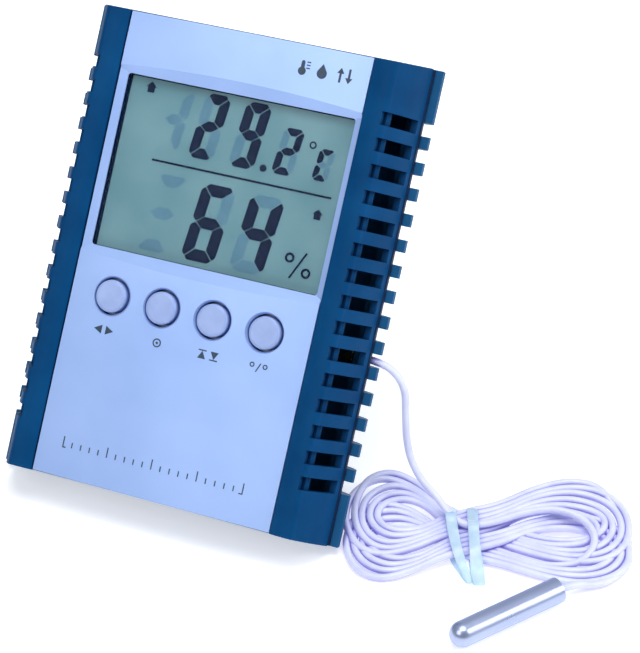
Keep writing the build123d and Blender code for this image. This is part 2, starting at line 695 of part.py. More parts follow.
def case_parts():
    parts = {
        "front_housing": front_housing(),
        "front_panel": front_panel(),
        "seam_gasket": seam_gasket(),
        "window_lens": window_lens(),
        "display_frame": display_frame(),
        "contact_strip": contact_strip(),
        "rubber_keypad": rubber_keypad(),
        "circuit_board": circuit_board(),
        "board_screws": board_screws(),
        "chip_cover": chip_cover(),
        "crystal": crystal(),
        "small_chips": small_chips(),
        "humidity_sensor": humidity_sensor(),
        "room_thermistor": room_thermistor(),
        "rear_housing": rear_housing(),
        "battery_door": battery_door(),
        "battery": battery(),
        "battery_contacts": battery_contacts(),
        "battery_spring": battery_spring(),
        "battery_wires": battery_wires(),
        "probe_wires": probe_wires(),
        "cable_clamp": cable_clamp(),
        "case_screws": case_screws(),
        "stand_leg": stand_leg(),
    }
    parts.update(display_layers())
    for name, x in zip(BUTTONS, button_centres()):
        parts["button_" + name] = button(x)
    return {name: stand_up(part) for name, part in parts.items()}


def table_parts():
    parts = {"cable_tube": cable_tube(), "cable_hank": cable_hank(), "twist_tie": twist_tie()}
    parts.update(probe_parts())
    return parts


def main():
    os.makedirs("parts", exist_ok=True)
    case = case_parts()
    span = Compound(list(case.values())).bounding_box()
    print("case box", [round(v, 2) for v in (*span.min, *span.max)],
          "middle in Y", round(span.center().Y, 3))
    for name, part in {**case, **table_parts()}.items():
        part.label = name
        export_step(part, f"parts/{name}.step")
    print("hinge at", [round(v, 3) for v in table_point(0, HINGE_Y, HINGE_Z)])


main()
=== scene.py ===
"""The looks of a leaning indoor and outdoor thermometer.

The frame holds the case, its buttons, stand and battery, and plain solids for the cable.
This script adds the display's segments, the signs on the face, the cable with its hank,
the tie, the finishes, the floor, the lights and the camera. Blender's unit is the metre.
Places on the case are in millimetres in the upright case's own frame: x to its right,
y to its back, z up its face. case_point() takes them to where the case leans.
"""

import json
import math
import random

import bpy
from mathutils import Matrix, Vector


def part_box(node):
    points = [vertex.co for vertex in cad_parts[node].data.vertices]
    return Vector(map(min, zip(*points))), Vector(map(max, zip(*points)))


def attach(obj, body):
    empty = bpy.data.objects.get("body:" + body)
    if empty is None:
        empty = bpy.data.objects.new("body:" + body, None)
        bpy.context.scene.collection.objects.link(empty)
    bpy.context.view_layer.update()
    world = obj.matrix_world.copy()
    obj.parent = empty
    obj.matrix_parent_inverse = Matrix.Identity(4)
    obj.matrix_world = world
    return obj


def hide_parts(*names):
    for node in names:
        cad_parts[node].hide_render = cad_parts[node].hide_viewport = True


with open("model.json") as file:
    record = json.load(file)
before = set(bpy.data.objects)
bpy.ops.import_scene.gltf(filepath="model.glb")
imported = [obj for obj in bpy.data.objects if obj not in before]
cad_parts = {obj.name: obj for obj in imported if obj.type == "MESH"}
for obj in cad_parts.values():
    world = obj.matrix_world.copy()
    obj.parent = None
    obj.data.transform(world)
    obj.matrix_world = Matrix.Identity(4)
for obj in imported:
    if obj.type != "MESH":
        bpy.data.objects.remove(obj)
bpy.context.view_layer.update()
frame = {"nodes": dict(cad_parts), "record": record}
record = frame["record"]
nodes = frame["nodes"]

MM = 0.001
CASE = "case"

# The upright case, in millimetres
KEYHOLE = (0, 17.75, 96)
FACE_HALF = 30.3
FACE_CROWN = 0.8
FILM_FRONT = 2.6
WINDOW = (-28.3, 28.9, 54.8, 95.7)    # its left, right, lower and upper edges


def case_matrix():
    """Takes a point of the upright case, in millimetres, to the leaning case, in metres."""
    hole = next(m for m in record["mounts"] if m["name"] == "wall_keyhole")
    lean = math.atan2(-hole["axis"][2], hole["axis"][1])
    turn = Matrix.Rotation(-lean, 4, "X")
    shift = Vector(hole["pos_m"]) - turn @ (Vector(KEYHOLE) * MM)
    return Matrix.Translation(shift) @ turn @ Matrix.Scale(MM, 4)


CASE_MATRIX = case_matrix()


def case_point(x, y, z):
    return CASE_MATRIX @ Vector((x, y, z))


def link(obj):
    bpy.context.scene.collection.objects.link(obj)
    return obj


# ---------------------------------------------------------------- finishes

def add(tree, kind, **settings):
    node = tree.nodes.new(kind)
    for name, value in settings.items():
        setattr(node, name, value)
    return node


def noise(tree, size, detail=3.0, stretch=(1, 1, 1)):
    """Noise whose features are about size metres across, drawn out along an axis by stretch."""
    place = add(tree, "ShaderNodeTexCoord")
    mapping = add(tree, "ShaderNodeMapping")
    mapping.inputs["Scale"].default_value = [1 / (size * s) for s in stretch]
    tree.links.new(place.outputs["Object"], mapping.inputs["Vector"])
    texture = add(tree, "ShaderNodeTexNoise")
    texture.inputs["Scale"].default_value = 1.0
    texture.inputs["Detail"].default_value = detail
    tree.links.new(mapping.outputs["Vector"], texture.inputs["Vector"])
    return texture.outputs["Fac"]


def span(tree, value, low, high):
    """Maps noise, which keeps near its middle, to the span from low to high."""
    node = add(tree, "ShaderNodeMapRange")
    for name, number in zip(("From Min", "From Max", "To Min", "To Max"), (0.3, 0.7, low, high)):
        node.inputs[name].default_value = number
    tree.links.new(value, node.inputs["Value"])
    return node.outputs["Result"]


def ramp(tree, value, dark, light, low=0.3, high=0.7):
    node = add(tree, "ShaderNodeValToRGB")
    node.color_ramp.elements[0].position = low
    node.color_ramp.elements[1].position = high
    node.color_ramp.elements[0].color = (*dark, 1)
    node.color_ramp.elements[1].color = (*light, 1)
    tree.links.new(value, node.inputs["Fac"])
    return node.outputs["Color"]


def finish(name, dark, light, patch, rough=(0.4, 0.5), grain=0.0003, bump=0.1, depth=0.00002,
           stretch=(1, 1, 1), **plain):
    """A procedural finish: colour and roughness vary over patches, and a fine grain stands proud."""
    material = bpy.data.materials.new(name)
    material.use_nodes = True
    tree = material.node_tree
    shader = tree.nodes["Principled BSDF"]
    for socket, value in plain.items():
        shader.inputs[socket.replace("_", " ")].default_value = value
    broad = noise(tree, patch, stretch=stretch)
    tree.links.new(ramp(tree, broad, dark, light), shader.inputs["Base Color"])
    fine = noise(tree, grain, 2.0, stretch)
    tree.links.new(span(tree, fine, *rough), shader.inputs["Roughness"])
    relief = add(tree, "ShaderNodeBump")
    relief.inputs["Strength"].default_value = bump
    relief.inputs["Distance"].default_value = depth
    tree.links.new(fine, relief.inputs["Height"])
    tree.links.new(relief.outputs["Normal"], shader.inputs["Normal"])
    return material


# The mix node has a set of sockets for each data type. These are the colour ones.
MIX_COLOUR_A, MIX_COLOUR_B, MIX_COLOUR_OUT = 6, 7, 2


def shade_crevices(material, tint, reach):
    """Painted shade: multiplies the colour by a darker tint where other surfaces stand within reach, as in
    crevices and recesses.
    """
    tree = material.node_tree
    base = tree.nodes["Principled BSDF"].inputs["Base Color"]
    source = base.links[0].from_socket
    near = add(tree, "ShaderNodeAmbientOcclusion", samples=8)
    near.inputs["Distance"].default_value = reach
    shade = ramp(tree, near.outputs["AO"], tint, (1, 1, 1), 0.30, 0.85)
    mix = add(tree, "ShaderNodeMix", data_type="RGBA", blend_type="MULTIPLY")
    mix.inputs["Factor"].default_value = 1
    tree.links.new(source, mix.inputs[MIX_COLOUR_A])
    tree.links.new(shade, mix.inputs[MIX_COLOUR_B])
    tree.links.new(mix.outputs[MIX_COLOUR_OUT], base)


def finishes():
    """One finish for each material slot of the record."""
    return {
        "housing": finish("housing", (0.0005, 0.044, 0.142), (0.002, 0.064, 0.190), 0.014,
                          (0.46, 0.56), grain=0.00035, bump=0.18, Specular_IOR_Level=0.06),
        "rear_shell": finish("rear_shell", (0.008, 0.078, 0.195), (0.014, 0.102, 0.245), 0.014,
                             (0.36, 0.48), grain=0.00035, bump=0.18, Specular_IOR_Level=0.05),
        "panel": finish("panel", (0.30, 0.445, 0.80), (0.37, 0.525, 0.90), 0.030, (0.34, 0.46),
                        grain=0.00012, bump=0.10, Metallic=0.35),
        "gasket": finish("gasket", (0.003, 0.014, 0.050), (0.006, 0.022, 0.075), 0.004, (0.5, 0.6),
                         Specular_IOR_Level=0.2),
        "lens": finish("lens", (0.01, 0.01, 0.02), (0.02, 0.02, 0.03), 0.02, (0.03, 0.06), bump=0.0,
                       Alpha=0.04, IOR=1.49),
        "display": finish("display", (0.30, 0.38, 0.36), (0.36, 0.44, 0.42), 0.01, (0.08, 0.12),
                          bump=0.02),
        "film": finish("film", (0.110, 0.275, 0.325), (0.170, 0.350, 0.400), 0.012, (0.30, 0.42),
                       bump=0.05, Specular_IOR_Level=0.3),
        "reflector": finish("reflector", (0.50, 0.56, 0.54), (0.62, 0.68, 0.66), 0.002, (0.3, 0.4),
                            Metallic=0.8),
        "white_plastic": finish("white_plastic", (0.70, 0.70, 0.68), (0.80, 0.80, 0.78), 0.01),
        "strip": finish("strip", (0.55, 0.22, 0.28), (0.85, 0.60, 0.66), 0.0004, (0.5, 0.6)),
        "button": finish("button", (0.27, 0.37, 0.68), (0.33, 0.44, 0.76), 0.004, (0.28, 0.38),
                         grain=0.0002, bump=0.10),
        "keypad": finish("keypad", (0.55, 0.55, 0.58), (0.68, 0.68, 0.70), 0.004, (0.5, 0.6)),
        "board": finish("board", (0.01, 0.14, 0.05), (0.02, 0.22, 0.09), 0.003, (0.25, 0.35)),
        "screw": finish("screw", (0.50, 0.51, 0.53), (0.72, 0.73, 0.75), 0.001, (0.2, 0.35), Metallic=1.0),
        "resin": finish("resin", (0.010, 0.010, 0.010), (0.022, 0.022, 0.022), 0.002, (0.15, 0.3)),
        "can": finish("can", (0.60, 0.61, 0.62), (0.75, 0.76, 0.77), 0.002, (0.2, 0.35), Metallic=1.0,
                      stretch=(8, 1, 1)),
        "chip": finish("chip", (0.40, 0.33, 0.24), (0.55, 0.47, 0.36), 0.001, (0.5, 0.7)),
        "sensor": finish("sensor", (0.78, 0.78, 0.76), (0.86, 0.86, 0.84), 0.004),
        "bead": finish("bead", (0.02, 0.02, 0.025), (0.05, 0.05, 0.06), 0.002, (0.2, 0.3)),
        "cell": finish("cell", (0.02, 0.03, 0.05), (0.05, 0.08, 0.13), 0.01, (0.2, 0.3), Metallic=0.4),
        "contact": finish("contact", (0.60, 0.60, 0.57), (0.76, 0.76, 0.73), 0.002, (0.2, 0.35),
                          Metallic=1.0),
        "wire": finish("wire", (0.35, 0.02, 0.02), (0.50, 0.04, 0.03), 0.003, (0.3, 0.4)),
        # The cable's faint lavender emission is a painted glow. It lifts its shaded sides and crevices
        # towards lavender.
        "cable": finish("cable", (0.62, 0.65, 0.90), (0.74, 0.77, 0.96), 0.006, (0.28, 0.40),
                        grain=0.0006, bump=0.06, Emission_Color=(0.45, 0.36, 1, 1), Emission_Strength=0.05),
        "tie": finish("tie", (0.54, 0.78, 0.94), (0.76, 0.92, 1.0), 0.003, (0.08, 0.20),
                      grain=0.0016, bump=0.5, depth=0.0002, Alpha=0.62),
        "steel": finish("steel", (0.38, 0.44, 0.66), (0.46, 0.52, 0.74), 0.03, (0.26, 0.32),
                        grain=0.015, bump=0.0, Metallic=0.75),
        "seal": finish("seal", (0.20, 0.52, 0.66), (0.34, 0.70, 0.84), 0.001, (0.15, 0.3)),
    }


FINISH = finishes()
# Painted shade: the cable darkens to lavender between its strands, and the housing darkens in its slots and
# corners.
shade_crevices(FINISH["cable"], (0.46, 0.42, 0.76), 0.0024)
shade_crevices(FINISH["housing"], (0.30, 0.34, 0.45), 0.0035)
INK = finish("ink", (0.012, 0.032, 0.065), (0.022, 0.050, 0.092), 0.001, (0.4, 0.55), bump=0.05)
SEGMENT = finish("segment", (0.005, 0.013, 0.042), (0.009, 0.021, 0.060), 0.002, (0.4, 0.5), bump=0.02,
                 Specular_IOR_Level=0.06)
GHOST = finish("ghost", (0.070, 0.205, 0.300), (0.100, 0.250, 0.350), 0.006, (0.3, 0.4), bump=0.02,
               Specular_IOR_Level=0.3)


def paint_cad_nodes():
    for part in record["subparts"]:
        node = nodes[part["node"]]
        for i in range(len(node.material_slots)):
            node.material_slots[i].material = FINISH[part["material_slot"]]
    # These show through the slots. They take the black resin finish as painted shade, so the slots look
    # dark inside.
    for name in ("cable_clamp", "display_frame"):
        nodes[name].material_slots[0].material = FINISH["resin"]


# ---------------------------------------------------------------- camera and stage

CAMERA_LENS = 130.8
CAMERA_PLACE = (0.20365, -0.41844, 0.35130)
CAMERA_LOOKS_AT = (0.0268, 0.0004, 0.0417)


def camera():
    data = bpy.data.cameras.new("camera")
    data.lens = CAMERA_LENS
    data.sensor_width = 36
    data.sensor_fit = "AUTO"
    data.clip_start, data.clip_end = 0.01, 20
    camera = link(bpy.data.objects.new("camera", data))
    camera.location = CAMERA_PLACE
    camera.rotation_mode = "QUATERNION"
    camera.rotation_quaternion = (Vector(CAMERA_LOOKS_AT) - camera.location).to_track_quat("-Z", "Y")
    bpy.context.scene.camera = camera


def lamp(name, place, size, watts, colour=(1, 1, 1), aim=(0.02, 0.0, 0.04)):
    data = bpy.data.lights.new(name, "AREA")
    data.shape = "RECTANGLE"
    data.size, data.size_y = size
    data.energy = watts
    data.color = colour
    light = link(bpy.data.objects.new(name, data))
    light.location = place
    light.rotation_mode = "QUATERNION"
    light.rotation_quaternion = (Vector(aim) - Vector(place)).to_track_quat("-Z", "Y")
    return light


def studio():
    scene = bpy.context.scene
    scene.view_settings.view_transform = "Standard"
    scene.world = surround()
    lamp("overhead", (0.10, -0.10, 0.85), (0.6, 0.5), 4.4)
    lamp("front", (-0.22, -0.68, 0.64), (0.5, 0.5), 2.4)
    lamp("right_side", (0.75, 0.10, 0.45), (0.3, 0.5), 2.6)


def surround():
    """A room that is bright at the back and the sides and dim behind the camera."""
    world = bpy.data.worlds.new("surround")
    world.use_nodes = True
    tree = world.node_tree
    place = add(tree, "ShaderNodeTexCoord")
    split = add(tree, "ShaderNodeSeparateXYZ")
    tree.links.new(place.outputs["Generated"], split.inputs["Vector"])
    back = add(tree, "ShaderNodeMapRange")
    back.inputs["From Min"].default_value = -1
    tree.links.new(split.outputs["Y"], back.inputs["Value"])
    colour = ramp(tree, back.outputs["Result"], (0.16, 0.18, 0.22), (0.78, 0.85, 0.95), 0.10, 0.75)
    tree.links.new(colour, tree.nodes["Background"].inputs["Color"])
    tree.nodes["Background"].inputs["Strength"].default_value = 0.5
    return world


FLOOR_TOP = -0.0001                   # just under the table's plane, so that nothing fights it


def floor():
    half, steps = 2.0, 40
    verts = [((i / steps * 2 - 1) * half, (j / steps * 2 - 1) * half, FLOOR_TOP)
             for j in range(steps + 1) for i in range(steps + 1)]
    row = steps + 1
    faces = [(j * row + i, j * row + i + 1, (j + 1) * row + i + 1, (j + 1) * row + i)
             for j in range(steps) for i in range(steps)]
    mesh = bpy.data.meshes.new("floor")
    mesh.from_pydata(verts, [], faces)
    mesh.materials.append(finish("floor", (0.82, 0.83, 0.84), (0.86, 0.87, 0.88), 0.4, (0.7, 0.8),
                                 bump=0.0, Emission_Color=(1, 1, 1, 1), Emission_Strength=0.50))
    link(bpy.data.objects.new("floor", mesh))


# ---------------------------------------------------------------- flat marks on the case

def filled(name, loops):
    """A flat mesh from closed loops of (x, y) points. A loop inside another is a hole."""
    curve = bpy.data.curves.new(name, "CURVE")
    curve.dimensions = "2D"
    curve.fill_mode = "BOTH"
    for loop in loops:
        spline = curve.splines.new("POLY")
        spline.points.add(len(loop) - 1)
        for point, (x, y) in zip(spline.points, loop):
            point.co = (x, y, 0, 1)
        spline.use_cyclic_u = True
    return to_mesh(name, curve)


def to_mesh(name, data):
    source = link(bpy.data.objects.new(name + "_source", data))
    bpy.context.view_layer.update()
    seen = source.evaluated_get(bpy.context.evaluated_depsgraph_get())
    mesh = bpy.data.meshes.new_from_object(seen)
    mesh.name = name
    bpy.data.objects.remove(source)
    return mesh


def face_depth(x):
    return -FACE_CROWN * (1 - (x / FACE_HALF) ** 2)


def on_case(mesh, material, depth, thick):
    """Lay a flat mesh on the case at depth(x) and give it a little thickness."""
    for v in mesh.vertices:
        v.co = case_point(v.co.x, depth(v.co.x), v.co.y)
    mesh.materials.clear()
    mesh.materials.append(material)
    piece = link(bpy.data.objects.new(mesh.name, mesh))
    solid = piece.modifiers.new("thickness", "SOLIDIFY")
    solid.thickness = thick * MM
    solid.offset = 0
    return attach(piece, CASE)


def on_face(mesh):
    return on_case(mesh, INK, lambda x: face_depth(x) - 0.02, 0.03)


def on_film(mesh, material, lift, thick):
    return on_case(mesh, material, lambda x: FILM_FRONT - lift, thick)


def join_flat(name, meshes):
    """One flat mesh from several."""
    verts, faces = [], []
    for mesh in meshes:
        start = len(verts)
        verts += [v.co[:] for v in mesh.vertices]
        faces += [[start + i for i in p.vertices] for p in mesh.polygons]
    joined = bpy.data.meshes.new(name)
    joined.from_pydata(verts, [], faces)
    return joined


def bar(left, right, low, high):
    return [(left, low), (right, low), (right, high), (left, high)]


def ring(x, y, outer, inner, count=28):
    return [[(x + r * math.cos(2 * math.pi * i / count), y + r * math.sin(2 * math.pi * i / count))
             for i in range(count)] for r in (outer, inner)]


def disc(x, y, radius, count=28):
    return ring(x, y, radius, radius, count)[0]


# ---------------------------------------------------------------- display

SEGMENTS = {"2": "abged", "4": "fgbc", "6": "afgedc", "9": "abcdfg", "C": "afed"}


def segment_shapes(width, height, thick, gap):
    """The seven segments' outlines, in a box from (0, 0) to (width, height)."""
    k = 0.30 * thick          # how much each outer corner is cut
    mid = height / 2
    w, h, t, g = width, height, thick, gap
    top = [(2 * k, h), (w - 2 * k, h), (w - k - g / 2, h - k + g / 2), (w - t - g, h - t),
           (t + g, h - t), (k + g / 2, h - k + g / 2)]
    upper = [(0, h - 2 * k), (k - g / 2, h - k - g / 2), (t, h - t - g), (t, mid + t / 2 + g / 2),
             (0.35 * t, mid + g), (0, mid + g + 0.3 * t)]
    across = [(0.35 * t + g, mid), (t + g / 2, mid + t / 2), (w - t - g / 2, mid + t / 2),
              (w - 0.35 * t - g, mid), (w - t - g / 2, mid - t / 2), (t + g / 2, mid - t / 2)]

    def right(loop):
        return [(w - x, y) for x, y in loop]

    def down(loop):
        return [(x, h - y) for x, y in loop]

    return {"a": top, "d": down(top), "f": upper, "e": down(upper), "b": right(upper),
            "c": right(down(upper)), "g": across}


def digit(shown, x, z, width, height, thick, slant, gap=0.14):
    """Outlines of some of a digit's segments on the display, leaning right by slant at its top."""
    shapes = segment_shapes(width, height, thick, gap)
    return [[(x + px + slant * py / height, z + py) for px, py in shapes[s]] for s in shown]


def percent(x, z, width, height, stroke):
    """A per cent sign: the slash's outline, and the outlines of its two rings."""
    lean = stroke * 0.75
    low, high = (x + 0.28 * width, z), (x + 0.74 * width, z + height)
    slash = [low, (low[0] + lean, low[1]), high, (high[0] - lean, high[1])]
    radius = 0.15 * width
    rings = [ring(x + share_x * width, z + share_z * height, radius, radius - stroke * 0.8)
             for share_x, share_z in ((0.21, 0.72), (0.79, 0.28))]
    return slash, rings


def display():
    """The upper row reads 29.2 degrees, the lower row 64 per cent, each with the sign for indoors."""
    upper = dict(z=79.5, width=6.4, height=15.4, thick=2.45, slant=1.6)
    lower = dict(z=56.2, width=8.5, height=18.2, thick=2.8, slant=1.9)
    small = dict(x=10.9, z=79.9, width=5.1, height=10.9, thick=1.75, slant=1.15)
    unit = dict(x=20.8, z=80.3, width=3.8, height=7.4, thick=1.4, slant=0.8)
    lit = digit(SEGMENTS["2"], x=-10.2, **upper) + digit(SEGMENTS["9"], x=0.1, **upper)
    lit += digit(SEGMENTS["2"], **small) + digit(SEGMENTS["C"], **unit)
    lit += digit(SEGMENTS["6"], x=-6.5, **lower) + digit(SEGMENTS["4"], x=5.7, **lower)
    lit.append(disc(8.9, 80.5, 0.85))
    lit.append(bar(-18.6, 26.7, 76.8, 77.3))
    slash, rings = percent(18.3, 57.3, 7.9, 6.4, 0.72)
    lit.append(slash)
    rings.append(ring(19.6, 88.0, 0.88, 0.52))
    lit += [house(-24.0, 92.2, 2.8, 2.6), house(23.0, 71.6, 2.6, 2.4)]
    meshes = [filled("lit", [loop]) for loop in lit] + [filled("ring", pair) for pair in rings]
    on_film(join_flat("display_segments", meshes), SEGMENT, 0.04, 0.03)
    unlit = []
    for x, shown in ((-19.3, "bcg"), (-10.2, "fc"), (0.1, "e")):
        unlit += digit(shown, x=x, **upper)
    for x, shown in ((-18.4, "adg"), (-6.5, "b"), (5.7, "ade")):
        unlit += digit(shown, x=x, **lower)
    unlit += digit("fc", **small) + digit("bcg", **unit)
    on_film(filled("display_ghosts", unlit), GHOST, 0.02, 0.01)
    mask()


def house(x, z, width, height):
    """The sign for indoors: a wall under a roof with eaves."""
    eave, wall = 0.18 * width, z + 0.5 * height
    return [(x + eave, z), (x + width - eave, z), (x + width - eave, wall), (x + width, wall),
            (x + width / 2, z + height), (x, wall), (x + eave, wall)]


def mask():
    """A dark band round the edge of the display's film: partly a printed border, and partly painted shadow
    of the window's inner wall where it is wider, on the left and at the top.
    """
    left, right, low, high = WINDOW
    hidden = 0.6                      # how far it runs on behind the panel
    outer = bar(left - hidden, right + hidden, low - hidden, high + hidden)
    # The band reaches furthest in on the left and at the top. There it is a painted shadow of the window's
    # inner wall.
    inner = bar(left + 0.55, right - 0.1, low + 0.1, high - 0.25)
    on_film(filled("display_mask", [outer, inner]), SEGMENT, 0.03, 0.02)


# ---------------------------------------------------------------- signs on the face

# A sign stands under each button, and a scale low on the face. No words are printed.
SIGN_LOW, SIGN_HIGH = 34.9, 37.0
SIGN_MIDDLE = (SIGN_LOW + SIGN_HIGH) / 2
SCALE_LEFT, SCALE_RIGHT, SCALE_LOW = -24.0, 22.0, 7.2
SCALE_STEPS = 20


def signs():
    under_buttons = (("sign_change", change_sign, -20.0), ("sign_clear", clear_sign, -6.1),
                     ("sign_extremes", extremes_sign, 6.9), ("sign_degrees", degrees_sign, 19.4))
    for name, shapes, x in under_buttons:
        on_face(join_flat(name, shapes(x)))
    on_face(join_flat("scale", scale()))
    on_face(join_flat("pictogram", thermometer(14.2) + drop(19.0) + arrows(23.4)))


def change_sign(x):
    """Two arrow heads, pointing left and right."""
    near, tip = 0.5, 2.5
    return [filled("head", [[(x + side * tip, SIGN_MIDDLE), (x + side * near, SIGN_LOW),
                             (x + side * near, SIGN_HIGH)]]) for side in (-1, 1)]


def clear_sign(x):
    """A ring round a dot."""
    radius = (SIGN_HIGH - SIGN_LOW) / 2
    return [filled("ring", ring(x, SIGN_MIDDLE, radius, 0.7 * radius)),
            filled("dot", [disc(x, SIGN_MIDDLE, 0.3 * radius)])]


def extremes_sign(x):
    """A head up to a bar, and a head down to a bar."""
    half, reach, line = 1.0, 1.5, 0.3
    up = [(x - reach - half, SIGN_LOW), (x - reach + half, SIGN_LOW), (x - reach, SIGN_HIGH - line)]
    top = bar(x - reach - half, x - reach + half, SIGN_HIGH - line, SIGN_HIGH)
    down, foot = [[(px + 2 * reach, 2 * SIGN_MIDDLE - pz) for px, pz in loop] for loop in (up, top)]
    return [filled("part", [loop]) for loop in (up, top, down, foot)]


def degrees_sign(x):
    """Two degree rings, either side of a stroke."""
    radius, reach, lean, line = 0.6, 1.6, 0.45, 0.3
    stroke = [(x - lean - line / 2, SIGN_LOW), (x - lean + line / 2, SIGN_LOW),
              (x + lean + line / 2, SIGN_HIGH), (x + lean - line / 2, SIGN_HIGH)]
    rings = [filled("ring", ring(x + side * reach, SIGN_HIGH - radius, radius, 0.55 * radius))
             for side in (-1, 1)]
    return rings + [filled("stroke", [stroke])]


def scale():
    """A base line with ticks on it, every fifth one taller. The crowned face hides the line's middle."""
    line, short, tall = 0.28, 1.3, 2.4
    pitch = (SCALE_RIGHT - SCALE_LEFT) / SCALE_STEPS
    loops = [bar(SCALE_LEFT, SCALE_RIGHT + line, SCALE_LOW - line, SCALE_LOW)]
    for step in range(SCALE_STEPS + 1):
        left = SCALE_LEFT + pitch * step
        loops.append(bar(left, left + line, SCALE_LOW, SCALE_LOW + (short if step % 5 else tall)))
    return [filled("tick", [loop]) for loop in loops]


# A thermometer, a drop, and arrows up and down stand in a row near the panel's upper right corner
ICON_LOW, ICON_HIGH = 102.9, 106.3


def arc(x, y, radius, start, end, count=20):
    """Points round part of a circle, between two angles in degrees."""
    angles = [math.radians(start + (end - start) * i / count) for i in range(count + 1)]
    return [(x + radius * math.cos(a), y + radius * math.sin(a)) for a in angles]


def thermometer(x):
    bulb, stem = 0.95, 0.45
    opening = math.degrees(math.asin(stem / bulb))
    outline = arc(x, ICON_HIGH - stem, stem, 0, 180)
    outline += arc(x, ICON_LOW + bulb, bulb, 90 + opening, 450 - opening)
    shapes = [filled("tube", [outline])]
    for height in (1.6, 2.3, 3.0):
        low = ICON_LOW + height
        shapes.append(filled("mark", [bar(x + 0.9, x + 1.8, low, low + 0.28)]))
    return shapes


def drop(x):
    radius = 1.2
    outline = [(x, ICON_HIGH)] + arc(x, ICON_LOW + radius, radius, 155, 385)
    return [filled("drop", [outline])]


def arrows(x):
    half, head, stem = 0.85, 1.3, 0.26
    neck, apart = ICON_HIGH - head, 2.1
    up = [(x, ICON_HIGH), (x + half, neck), (x + stem, neck), (x + stem, ICON_LOW),
          (x - stem, ICON_LOW), (x - stem, neck), (x - half, neck)]
    middle = (ICON_LOW + ICON_HIGH) / 2
    down = [(px + apart, 2 * middle - pz) for px, pz in up]
    return [filled("up", [up]), filled("down", [down])]


# ---------------------------------------------------------------- cable, hank and probe

CABLE_D = 0.0018
CABLE_LEAVES = (37.0, 14.0, 43.0)     # where the cable leaves the case, in the upright case
CABLE_STRAIGHT = 6.2
# The route's points, in metres. The last ones ride over the hank.
CABLE_ROUTE = [
    (0.0471, -0.0023, 0.0356),
    (0.0494, -0.0024, 0.0317),
    (0.0496, -0.0025, 0.0250),
    (0.0500, -0.0028, 0.0186),
    (0.0514, -0.0034, 0.0130),
    (0.0548, -0.0052, 0.0092),
    (0.0600, -0.0080, 0.0078),
]
# The hank lies along its own u axis, v across it. It is tied at TIE_U. All in millimetres.
# Nine strands run over the tied waist from lower left to upper right, and nine run back
# under them, so every turn is a figure of eight. Each layer's strands are ranked by v.
HANK_ANGLE = math.radians(20)
TIE_U = -5.5
RANKS = 9
STRAND_GAP = 1.78                     # from strand to strand at the tie
OVER, UNDER = 3.05, 1.25              # heights of the two layers at the tie
ARRIVAL = (-0.8, 4.85)                # v and height at which the cable arrives on top of them
# The rank under the tie at which each turn comes back. Turn n sets out over it at rank n - 1.
COMES_BACK = (3, 2, 1, 0, 7, 8, 6, 5, 4)
RIGHT_REACH = (23.5, 27.8, 29.7, 31.5, 24.6, 26.4, 28.2, 30.0, 31.8)
LEFT_REACH = (33.3, 31.5, 29.7, 27.9, 33.8, 32.0, 30.2, 28.4, 26.6)
# v and height of the first and the last rank's strand at each lobe's widest, by the layer it
# leads to
RIGHT_UPPER = ((3.0, 2.0), (16.6, 5.0))
RIGHT_LOWER = ((-14.2, 1.0), (-1.7, 2.6))
LEFT_UPPER = ((2.9, 1.6), (17.4, 5.3))
LEFT_LOWER = ((-14.6, 1.0), (-0.6, 3.1))
ARRIVAL_UPPER = (5.0, 5.6)
# A lobe's control points: share of its reach, share of the way from the tie's v to the
# lobe's, and place across the lobe, from 1 on its upper side to -1 on its lower side
LOBE = ((0.21, 0.30, 1.0), (0.43, 0.85, 1.0), (0.66, 1.0, 1.08), (0.85, 1.0, 0.93),
        (0.97, 1.0, 0.52), (1.01, 1.0, -0.04), (0.975, 1.0, -0.56), (0.86, 1.0, -0.95),
        (0.68, 1.0, -1.08), (0.46, 0.85, -1.0), (0.21, 0.30, -1.0))
LOOSE = 0.26                          # how far a control point may stray
SEED = 64                             # picked by a search for the widest folds
# The last turn's right lobe: v and height of its lower side, its reach, and its points in use
LAST_LOWER = (-16, 1)
LAST_REACH = 32.2
LAST_POINTS = 4
# The last strand leaves the right lobe for the probe: u, v and height
TO_PROBE = ((31.6, 2.5, 1.6), (31.8, -4.0, 1.0), (30.0, -10.0, 0.9), (26.4, -14.2, 0.95),
            (22.6, -16.2, 1.5), (19.0, -17.0, 2.5))
NEARS_TIE = (-9.3, 1.9, 5.3)          # where the cable comes in over the hank: u, v and height
PROBE_HEADING = math.radians(56.6)


def hank_point(u, v, z):
    """From the hank's own axes, in millimetres, to the row frame."""
    low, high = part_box("cable_hank")
    middle = (low + high) / 2
    cos, sin = math.cos(HANK_ANGLE), math.sin(HANK_ANGLE)
    return Vector((middle.x + (u * cos - v * sin) * MM, middle.y + (u * sin + v * cos) * MM, z * MM))


def at_tie(rank, height):
    """v and height of a strand as it passes the tie."""
    return (rank - (RANKS - 1) / 2) * STRAND_GAP, height


def ranked(ends, rank):
    """v and height of a rank's strand, between those of the first and the last rank."""
    return [first + (last - first) * rank / (RANKS - 1) for first, last in zip(*ends)]


def lobe_points(side, start, end, upper, lower, reach, rng):
    """Control points round one lobe, upper side first. side is 1 for the right one, -1 for the left."""
    length = reach - side * TIE_U
    points = []
    for i, (along, share, across) in enumerate(LOBE):
        tie = start if i < len(LOBE) / 2 else end
        v, z = [low + (up - low) * (across + 1) / 2 for low, up in zip(lower, upper)]
        v = tie[0] + share * (v - tie[0])
        z = tie[1] + share ** 2 * (z - tie[1])
        loose = LOOSE * share ** 4
        u = TIE_U + side * along * length + rng.uniform(-loose, loose)
        points.append((u, v + rng.uniform(-loose, loose), max(z, CABLE_D / 2 / MM)))
    return points


